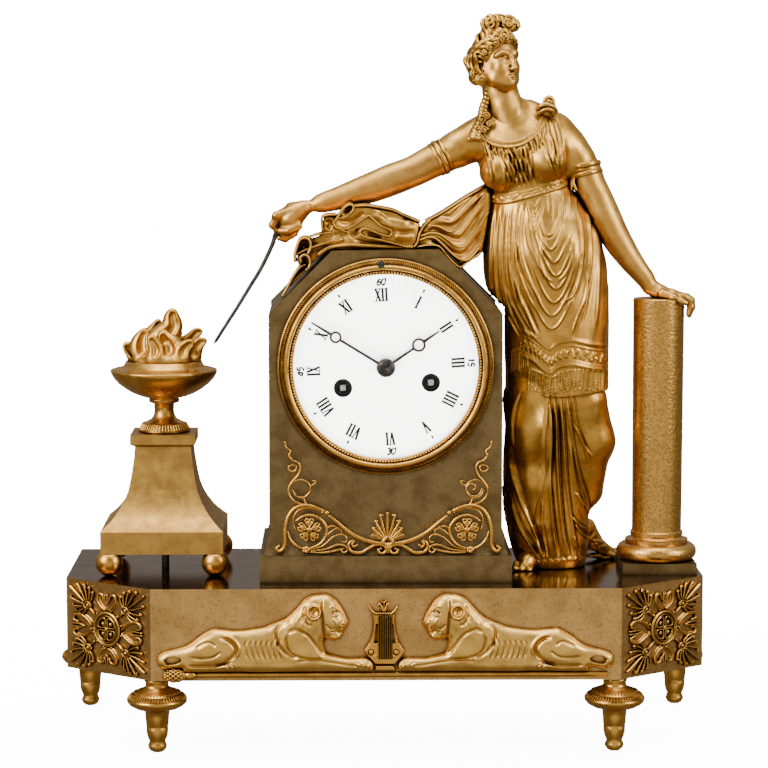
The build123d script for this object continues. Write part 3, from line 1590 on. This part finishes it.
hammer_head_radius = 2.5
hammer_gap = 0.8
hammer_head_angle = 190.0
hammer_arm_gap = 1.0
hammer_arm_front = back_plate_back + hammer_arm_gap
hammer_lip = 1.5
hammer_arm_thickness = 1.6
hammer_arm_width = 2.4
hammer_head_length = 6.0
hammer_stem_radius = 0.9
hammer_head_place = along(*bell_place, bell_radius + hammer_gap + hammer_head_radius, hammer_head_angle)
tail_length = 8.0
tail_gap = 0.6
tail_y = level_b + wheel_thickness + pin_length + tail_gap
with BuildPart() as strike_hammer:
    extrude(
        round_face(*hammer_place, arbor_front, arbor_radius),
        amount=-(hammer_arm_front + hammer_arm_thickness - arbor_front),
    )
    extrude(round_face(*hammer_place, pivot_front, pivot_radius), amount=-(arbor_front - pivot_front))
    arm_span = (
        (hammer_head_place[0] - hammer_place[0]) ** 2 + (hammer_head_place[1] - hammer_place[1]) ** 2
    ) ** 0.5
    with BuildSketch(on_dial(*hammer_place, hammer_arm_front, direction(hammer_place, hammer_head_place))):
        with Locations((arm_span / 2, 0)):
            SlotCenterToCenter(arm_span, hammer_arm_width)
    extrude(amount=-hammer_arm_thickness)
    extrude(
        round_face(*hammer_head_place, hammer_arm_front, hammer_stem_radius),
        amount=-(bell_front + hammer_head_length - 2 * hammer_lip - hammer_arm_front),
    )
    extrude(
        round_face(*hammer_head_place, bell_front - hammer_lip, hammer_head_radius), amount=-hammer_head_length
    )
    with BuildSketch(on_dial(*hammer_place, tail_y, direction(hammer_place, pin_place))):
        with Locations((tail_length / 2, 0)):
            SlotCenterToCenter(tail_length, 0.8 * hammer_arm_width)
    extrude(amount=-hammer_arm_thickness)
strike_hammer.part.label = "strike_hammer"
export_step(strike_hammer.part, "parts/strike_hammer.step")

# Column: a square plinth and a turned shaft on a moulded foot
column_plinth_width = 38.4
column_plinth_height = 5.7
column_torus_radius = 19.05
column_torus_height = 8.6
column_ring_radius = 16.5
column_collar_radius = 13.8
moulding_height = 6.6
column_edge = 0.4
column_bore_depth = 30.0
with BuildPart() as column_plinth:
    with BuildSketch(Plane.XY.offset(base_top)):
        with Locations((column_x, column_y)):
            Rectangle(column_plinth_width, column_plinth_width)
            Circle(bolt_radius + bolt_clearance, mode=Mode.SUBTRACT)
    extrude(amount=column_plinth_height)
column_plinth.part.label = "column_plinth"
export_step(column_plinth.part, "parts/column_plinth.step")

column_foot = base_top + column_plinth_height
torus_top = column_foot + column_torus_height
column_top = base_top + column_height
with BuildPart() as column_shaft:
    column_section = [
        (0, column_foot),
        (0.93 * column_torus_radius, column_foot),
        (0.93 * column_torus_radius, torus_top, -0.52 * column_torus_height),
        (0.92 * column_ring_radius, torus_top),
        (0.92 * column_ring_radius, torus_top + 0.1 * moulding_height),
        (column_ring_radius, torus_top + 0.15 * moulding_height),
        (column_ring_radius, torus_top + 0.33 * moulding_height),
        (0.96 * column_collar_radius, torus_top + 0.55 * moulding_height, 0.45 * moulding_height),
        (column_collar_radius, torus_top + 0.67 * moulding_height),
        (column_collar_radius, torus_top + 0.9 * moulding_height),
        (column_foot_radius, torus_top + moulding_height),
        (column_top_radius, column_top - column_edge),
        (column_top_radius - column_edge, column_top),
        (0, column_top),
    ]
    revolve(turned_face(column_x, column_y, column_section), axis=upright(column_x, column_y))
    with BuildSketch(Plane.XY.offset(column_foot)):
        with Locations((column_x, column_y)):
            Circle(bolt_radius + thread_clearance)
    extrude(amount=column_bore_depth + overrun, mode=Mode.SUBTRACT)
column_shaft.part.label = "column_shaft"
export_step(column_shaft.part, "parts/column_shaft.step")

# Altar: four ball feet, a square block, a waisted pedestal with a cap, a turned bowl and its flames
ball_flat = 0.2
ball_inset = 4.3
ball_rise = 11.7
block_bottom = base_top + ball_rise
altar_block_height = 11.6
altar_height = 71.8
cap_height = 6.2
altar_neck_half = 14.5
altar_waist_half = 17.9
ball_centre_z = base_top + ball_radius - ball_flat
ball_offset = altar_block_width / 2 - ball_inset
with BuildPart() as altar_ball_feet:
    for side_x in (-1, 1):
        for side_y in (-1, 1):
            with Locations((altar_x + side_x * ball_offset, altar_y + side_y * ball_offset, ball_centre_z)):
                Sphere(ball_radius)
    split(bisect_by=Plane.XY.offset(base_top), keep=Keep.TOP)
    split(bisect_by=Plane.XY.offset(block_bottom), keep=Keep.BOTTOM)
altar_ball_feet.part.label = "altar_ball_feet"
export_step(altar_ball_feet.part, "parts/altar_ball_feet.step")

altar_top = base_top + altar_height
with BuildPart() as altar_pedestal:
    block_top = block_bottom + altar_block_height
    block_half = altar_block_width / 2
    cap_half = altar_cap_width / 2
    flare_height = altar_top - cap_height - block_top
    altar_side = [
        (-block_half, block_bottom),
        (block_half, block_bottom),
        (block_half, block_top),
        (altar_waist_half, block_top + 0.47 * flare_height, 0.95 * flare_height),
        (altar_neck_half, altar_top - cap_height, 3.6 * flare_height),
        (cap_half, altar_top - 0.8 * cap_height),
        (cap_half, altar_top),
        (-cap_half, altar_top),
        (-cap_half, altar_top - 0.8 * cap_height),
        (-altar_neck_half, altar_top - cap_height),
        (-altar_waist_half, block_top + 0.47 * flare_height, 3.6 * flare_height),
        (-block_half, block_top, 0.95 * flare_height),
    ]
    with BuildSketch(Plane(origin=(altar_x, altar_y, 0), x_dir=(1, 0, 0), z_dir=(0, -1, 0))):
        with BuildLine():
            add(outline(altar_side))
        make_face()
    extrude(amount=altar_block_width, both=True)
    with BuildSketch(Plane(origin=(altar_x, altar_y, 0), x_dir=(0, 1, 0), z_dir=(1, 0, 0))):
        with BuildLine():
            add(outline(altar_side))
        make_face()
    extrude(amount=altar_block_width, both=True, mode=Mode.INTERSECT)
    with BuildSketch(Plane.XY.offset(block_bottom)):
        with Locations((altar_x, altar_y)):
            Circle(bolt_radius + bolt_clearance)
    extrude(amount=altar_height, mode=Mode.SUBTRACT)
altar_pedestal.part.label = "altar_pedestal"
export_step(altar_pedestal.part, "parts/altar_pedestal.step")

bowl_height = 36.9
bowl_radius = 28.0
bowl_collar_radius = 19.7
bowl_foot_radius = 12.8
bowl_knurl_radius = 10.7
bowl_stem_radius = 4.7
bowl_neck_radius = 8.1
bowl_bore_depth = 9.0
bowl_top = altar_top + bowl_height
with BuildPart() as brazier_bowl:
    bowl_section = [
        (0, altar_top),
        (bowl_foot_radius, altar_top),
        (bowl_foot_radius, altar_top + 0.075 * bowl_height),
        (bowl_knurl_radius, altar_top + 0.09 * bowl_height),
        (bowl_knurl_radius, altar_top + 0.16 * bowl_height),
        (bowl_stem_radius, altar_top + 0.3 * bowl_height, 0.3 * bowl_height),
        (bowl_stem_radius, altar_top + 0.38 * bowl_height),
        (bowl_neck_radius, altar_top + 0.41 * bowl_height),
        (bowl_neck_radius, altar_top + 0.46 * bowl_height),
        (0.86 * bowl_neck_radius, altar_top + 0.47 * bowl_height),
        (bowl_radius, altar_top + 0.86 * bowl_height, -1.6 * bowl_height),
        (bowl_radius, altar_top + 0.885 * bowl_height),
        (0.78 * bowl_radius, altar_top + 0.93 * bowl_height, 0.3 * bowl_radius),
        (bowl_collar_radius, altar_top + 0.95 * bowl_height),
        (bowl_collar_radius, bowl_top),
        (0, bowl_top),
    ]
    revolve(turned_face(altar_x, altar_y, bowl_section), axis=upright(altar_x, altar_y))
    with BuildSketch(Plane.XY.offset(altar_top)):
        with Locations((altar_x, altar_y)):
            Circle(bolt_radius + thread_clearance)
    extrude(amount=bowl_bore_depth + overrun, mode=Mode.SUBTRACT)
brazier_bowl.part.label = "brazier_bowl"
export_step(brazier_bowl.part, "parts/brazier_bowl.step")

# Flames: a low mound with a tongue for each named bearing, lean and reach, as shares of the flame's height
flame_height = 27.3
flame_radius = 18.3
flame_root_radius = 4.4
tongue_shares = [
    (0.3, 0.15, 1.0), (0.2, -0.35, 0.8), (0.35, -0.75, 0.62), (0.3, 0.75, 0.6), (0.65, 0.0, 0.6),
    (0.65, 0.5, 0.5), (0.7, 1.0, 0.45), (0.7, -1.0, 0.42), (0.7, -0.55, 0.45),
]
with BuildPart() as brazier_flame:
    mound_section = [
        (0, bowl_top),
        (flame_radius, bowl_top),
        (0.95 * flame_radius, bowl_top + 0.1 * flame_height),
        (0, bowl_top + 0.3 * flame_height, -2.0 * flame_radius),
    ]
    revolve(turned_face(altar_x, altar_y, mound_section), axis=upright(altar_x, altar_y))
    for ring_share, bearing_share, height_share in tongue_shares:
        bearing = pi * bearing_share
        root_x = altar_x + ring_share * flame_radius * sin(bearing)
        root_y = altar_y - ring_share * flame_radius * cos(bearing)
        lean_x = 0.3 * flame_radius * sin(bearing) + 0.1 * flame_radius
        reach = height_share * flame_height
        loft([
            section_face((root_x + lean * lean_x, root_y, bowl_top + rise * reach), (0, 0, 1), size, size)
            for lean, rise, size in (
                (0.0, 0.1, flame_root_radius),
                (-0.25, 0.45, 0.9 * flame_root_radius),
                (0.2, 0.75, 0.5 * flame_root_radius),
                (1.0, 1.0, 0.12 * flame_root_radius),
            )
        ])
brazier_flame.part.label = "brazier_flame"
export_step(brazier_flame.part, "parts/brazier_flame.step")

# Bolts from under the base, one each for column, altar and figure, and two for the case
figure_bore_depth = 20.0
altar_bolt_length = altar_height + bowl_bore_depth
bolt_runs = [
    column_plinth_height + column_bore_depth,
    altar_bolt_length,
    figure_bore_depth,
    case_bolt_depth,
    case_bolt_depth,
]
with BuildPart() as tie_bolts:
    for (bolt_x, bolt_y), run in zip(bolt_places, bolt_runs):
        with BuildSketch(Plane.XY.offset(base_top - base_wall)):
            with Locations((bolt_x, bolt_y)):
                Circle(bolt_radius)
        extrude(amount=base_wall + run)
        with BuildSketch(Plane.XY.offset(base_top - base_wall - bolt_head_height)):
            with Locations((bolt_x, bolt_y)):
                RegularPolygon(bolt_head_radius, 6)
        extrude(amount=bolt_head_height)
tie_bolts.part.label = "tie_bolts"
export_step(tie_bolts.part, "parts/tie_bolts.step")

# Figure: body with both shoulders, from sections given as shares of its height:
# height, X offset, half width, Y offset, half depth
skirt_shares = [
    (0.0, -0.02, 0.073, 0.03, 0.062),
    (0.04, -0.026, 0.0745, 0.03, 0.063),
    (0.086, -0.031, 0.0765, 0.028, 0.062),
    (0.155, -0.03, 0.0785, 0.02, 0.066),
    (0.224, -0.023, 0.085, 0.01, 0.071),
    (0.335, -0.018, 0.087, 0.002, 0.078),
]
bodice_shares = [
    (0.32, -0.01, 0.0935, 0.0, 0.086),
    (0.4, -0.013, 0.0945, 0.0, 0.086),
    (0.46, -0.019, 0.097, 0.0, 0.086),
    (0.51, -0.031, 0.108, 0.0, 0.084),
    (0.57, -0.036, 0.109, 0.0, 0.082),
    (0.617, -0.041, 0.099, 0.0, 0.073),
    (0.662, -0.05, 0.083, 0.0, 0.06),
    (0.685, -0.059, 0.071, 0.0, 0.053),
    (0.712, -0.066, 0.076, -0.002, 0.061),
    (0.74, -0.068, 0.085, -0.004, 0.066),
    (0.768, -0.067, 0.092, 0.0, 0.056),
    (0.792, -0.068, 0.082, 0.003, 0.043),
    (0.812, -0.074, 0.06, 0.005, 0.033),
    (0.831, -0.086, 0.034, 0.005, 0.026),
]
column_arm_shares = [
    (0.0, 0.0, 0.787, 0.034, 0.036),
    (0.024, -0.004, 0.77, 0.034, 0.034),
    (0.0376, -0.01, 0.7155, 0.029, 0.029),
    (0.057, -0.017, 0.673, 0.026, 0.027),
    (0.079, -0.021, 0.6265, 0.027, 0.0265),
    (0.109, -0.024, 0.573, 0.023, 0.023),
    (0.136, -0.028, 0.5375, 0.0165, 0.018),
    (0.158, -0.028, 0.519, 0.0125, 0.019),
    (0.186, -0.028, 0.508, 0.0125, 0.026),
    (0.212, -0.028, 0.502, 0.01, 0.024),
    (0.2285, -0.028, 0.488, 0.0065, 0.02),
    (0.2295, -0.028, 0.469, 0.005, 0.017),
]
column_arm_seam = 2 * smooth_steps
pointing_arm_shares = [
    (-0.135, 0.0, 0.79, 0.034, 0.036),
    (-0.161, -0.01, 0.772, 0.0325, 0.034),
    (-0.2203, -0.02, 0.7407, 0.029, 0.029),
    (-0.2703, -0.03, 0.7162, 0.026, 0.026),
    (-0.3434, -0.038, 0.6883, 0.023, 0.024),
    (-0.3969, -0.041, 0.6724, 0.0185, 0.02),
    (-0.45, -0.044, 0.6583, 0.0145, 0.018),
    (-0.4748, -0.044, 0.6459, 0.0215, 0.024),
    (-0.5, -0.044, 0.6245, 0.0195, 0.022),
    (-0.5105, -0.044, 0.61, 0.011, 0.014),
]
pointing_arm_seam = 2 * smooth_steps


def body_faces(shares):
    """Level sections of the body from their shares."""
    faces = []
    for z_share, x_share, width_share, y_share, depth_share in smoothed(shares):
        centre = (figure_x + x_share * figure_height, figure_y + y_share * figure_height)
        with BuildSketch(Plane.XY.offset(base_top + z_share * figure_height)) as face:
            with Locations(centre):
                Ellipse(width_share * figure_height, depth_share * figure_height)
        faces.append(face.sketch)
    return faces


def arm_faces(shares):
    """Sections of an arm from their shares."""
    return limb_faces([
        (
            figure_x + x * figure_height,
            figure_y + y * figure_height,
            base_top + z * figure_height,
            width * figure_height,
            depth * figure_height,
        )
        for x, y, z, width, depth in smoothed(shares)
    ])


column_arm = arm_faces(column_arm_shares)
pointing_arm = arm_faces(pointing_arm_shares)
skirt_fold_shares = [
    [(-0.055, -0.065, 0.33, 0.009, 0.009), (-0.065, -0.045, 0.17, 0.008, 0.009), (-0.07, -0.03, 0.02, 0.01, 0.01)],
    [(-0.02, -0.078, 0.33, 0.01, 0.01), (-0.035, -0.052, 0.17, 0.009, 0.01), (-0.045, -0.035, 0.02, 0.01, 0.01)],
    [(0.02, -0.072, 0.33, 0.009, 0.01), (0.005, -0.05, 0.17, 0.009, 0.01), (-0.005, -0.036, 0.02, 0.011, 0.01)],
    [(0.05, -0.05, 0.33, 0.01, 0.01), (0.035, -0.03, 0.17, 0.01, 0.01), (0.03, -0.02, 0.02, 0.011, 0.01)],
    [(0.055, 0.04, 0.33, 0.01, 0.01), (0.04, 0.06, 0.17, 0.01, 0.01), (0.03, 0.065, 0.02, 0.011, 0.01)],
    [(0.0, 0.066, 0.6, 0.01, 0.01), (-0.005, 0.079, 0.4, 0.01, 0.01), (-0.01, 0.085, 0.02, 0.012, 0.012)],
    [(0.07, -0.055, 0.5, 0.008, 0.01), (0.03, -0.08, 0.44, 0.008, 0.01), (-0.03, -0.085, 0.42, 0.008, 0.009)],
    [(0.07, -0.05, 0.43, 0.008, 0.01), (0.02, -0.083, 0.37, 0.008, 0.01), (-0.04, -0.08, 0.35, 0.008, 0.009)],
]
foot_length = 30.0
foot_width = 10.0
foot_rise = 11.0
front_foot_place = (figure_x - 0.07 * figure_height, figure_y - 0.007 * figure_height)
side_foot_place = (figure_x + 0.07 * figure_height, figure_y + 0.07 * figure_height)
with BuildPart() as figure_body:
    loft(body_faces(skirt_shares), ruled=True)
    loft(body_faces(bodice_shares), ruled=True)
    loft(column_arm[: column_arm_seam + 1], ruled=True)
    loft(pointing_arm[: pointing_arm_seam + 1], ruled=True)
    for fold_shares in skirt_fold_shares:
        loft(arm_faces(fold_shares), ruled=True)
    for (sole_x, sole_y), sole_turn in ((front_foot_place, -82.0), (side_foot_place, 22.0)):
        with BuildSketch(Plane.XY.offset(base_top)):
            with Locations(Location((sole_x, sole_y), sole_turn)):
                SlotOverall(foot_length, foot_width)
        extrude(amount=foot_rise, taper=22)
    with BuildSketch(front_xz.offset(-case_front + overrun)):
        Polygon(*case_outline(case_width / 2, case_top), align=None)
        offset(amount=case_back_proud + soft_gap, kind=Kind.INTERSECTION, mode=Mode.REPLACE)
    extrude(amount=-(case_depth + 4 * overrun), mode=Mode.SUBTRACT)
    with BuildSketch(Plane.XY.offset(base_top)):
        Rectangle(2 * plinth_half_width + 2 * soft_gap, 2 * plinth_half_depth)
    extrude(amount=case_plinth_height + soft_gap, mode=Mode.SUBTRACT)
    with BuildSketch(Plane.XY.offset(base_top)):
        with Locations(bolt_places[2]):
            Circle(bolt_radius + thread_clearance)
    extrude(amount=figure_bore_depth + overrun, mode=Mode.SUBTRACT)
figure_body.part.label = "figure_body"
export_step(figure_body.part, "parts/figure_body.step")

with BuildPart() as figure_left_arm:
    loft(column_arm[column_arm_seam:], ruled=True)
    with BuildSketch(Plane.XY.offset(base_top)):
        with Locations((column_x, column_y)):
            Circle(column_top_radius + soft_gap)
    extrude(amount=column_height + running_clearance, mode=Mode.SUBTRACT)
figure_left_arm.part.label = "figure_left_arm"
export_step(figure_left_arm.part, "parts/figure_left_arm.step")

# Head and neck, turned towards the column, with the knot of hair on top
head_shares = [
    (0.831, -0.086, 0.034, 0.005, 0.026),
    (0.85, -0.099, 0.0275, 0.0, 0.026),
    (0.866, -0.107, 0.0265, -0.004, 0.027),
    (0.882, -0.107, 0.038, -0.01, 0.036),
    (0.905, -0.115, 0.046, -0.01, 0.05),
    (0.93, -0.121, 0.048, -0.008, 0.053),
    (0.953, -0.124, 0.043, -0.004, 0.047),
    (0.968, -0.126, 0.028, 0.0, 0.032),
]
nose_shares = [(-0.102, -0.05, 0.925, 0.004, 0.003), (-0.097, -0.06, 0.908, 0.006, 0.005), (-0.1, -0.04, 0.9, 0.006, 0.004)]
hair_shares = [
    (0.9, -0.131, 0.04, 0.012, 0.036),
    (0.918, -0.131, 0.048, 0.009, 0.047),
    (0.938, -0.131, 0.0505, 0.006, 0.052),
    (0.957, -0.131, 0.046, 0.004, 0.049),
    (0.972, -0.131, 0.034, 0.004, 0.037),
    (0.979, -0.131, 0.02, 0.004, 0.022),
]
knot_places_shares = [(-0.134, 0.016, 0.9815, 0.0165), (-0.102, 0.01, 0.976, 0.0115)]
with BuildPart() as figure_head:
    loft(body_faces(head_shares), ruled=True)
    loft(arm_faces(nose_shares), ruled=True)
    loft(body_faces(hair_shares), ruled=True)
    for x_share, y_share, z_share, radius_share in knot_places_shares:
        with Locations((
            figure_x + x_share * figure_height,
            figure_y + y_share * figure_height,
            base_top + z_share * figure_height,
        )):
            Sphere(radius_share * figure_height)
figure_head.part.label = "figure_head"
export_step(figure_head.part, "parts/figure_head.step")

# Pointing rod of dark steel, held in the fist and reaching to the flames
rod_grip = (-55.5, -10.0, 263.1)
rod_tip = (-88.0, -4.0, 205.1)
pointer_radius = 1.05
pointer_tip_radius = 0.5
rod_hidden_share = -0.14
with BuildPart() as figure_right_arm:
    loft(pointing_arm[pointing_arm_seam:], ruled=True)
    rod_run = Vector(*rod_tip) - Vector(*rod_grip)
    rod_head = Vector(*rod_grip) + rod_run * rod_hidden_share
    with BuildSketch(Plane(origin=rod_head, z_dir=rod_run.normalized())):
        Circle(pointer_radius + thread_clearance)
    extrude(amount=rod_run.length, mode=Mode.SUBTRACT)
figure_right_arm.part.label = "figure_right_arm"
export_step(figure_right_arm.part, "parts/figure_right_arm.step")

with BuildPart() as pointing_rod:
    rod_direction = rod_run.normalized()
    loft([
        section_face(rod_head, rod_direction, pointer_radius, pointer_radius),
        section_face(Vector(*rod_grip) + rod_run * 0.75, rod_direction, 0.9 * pointer_radius, 0.9 * pointer_radius),
        section_face(rod_tip, rod_direction, pointer_tip_radius, pointer_tip_radius),
    ], ruled=True)
pointing_rod.part.label = "pointing_rod"
export_step(pointing_rod.part, "parts/pointing_rod.step")

# Mantle thrown over the case: rolls of cloth from front to back, and a fall to the figure's back;
# a roll is X and Z of its middle, half width, half height and how far it reaches to the front, as shares
mantle_rise = 22.0
mantle_front = -31.0
mantle_depth = 58.0
half = case_width / 2
flat_half = half - case_chamfer
roll_shares = [
    (-0.83, -0.75, 0.1, 0.5, 0.6), (-0.74, -0.2, 0.14, 0.42, 0.8), (-0.52, 0.2, 0.2, 0.5, 1.0),
    (-0.3, 0.4, 0.2, 0.5, 0.9), (-0.1, 0.4, 0.22, 0.58, 1.0), (0.12, 0.3, 0.22, 0.55, 0.85),
    (0.34, 0.15, 0.2, 0.48, 0.95), (0.52, 0.3, 0.17, 0.7, 0.6), (0.68, 0.5, 0.15, 0.85, 0.5),
    (0.76, 0.75, 0.09, 0.65, 0.4),
]
with BuildPart() as mantle_drapery:
    for x_share, z_share, width_share, height_share, reach_share in roll_shares:
        roll_front = mantle_front * reach_share
        for depth_share, size_share in ((0.0, 0.5), (0.12, 0.9), (0.5, 1.0), (0.88, 0.9), (1.0, 0.5)):
            with BuildSketch(front_xz.offset(-roll_front - depth_share * mantle_depth * reach_share)):
                with Locations((x_share * half, case_top + z_share * mantle_rise)):
                    Ellipse(size_share * width_share * half, size_share * height_share * mantle_rise)
        loft(ruled=True)
    with BuildSketch(front_xz.offset(-case_front + overrun)):
        Polygon(*case_outline(case_width / 2, case_top), align=None)
        offset(amount=running_clearance, kind=Kind.INTERSECTION, mode=Mode.REPLACE)
    extrude(amount=-(case_depth + 2 * overrun), mode=Mode.SUBTRACT)
mantle_drapery.part.label = "mantle_drapery"
export_step(mantle_drapery.part, "parts/mantle_drapery.step")
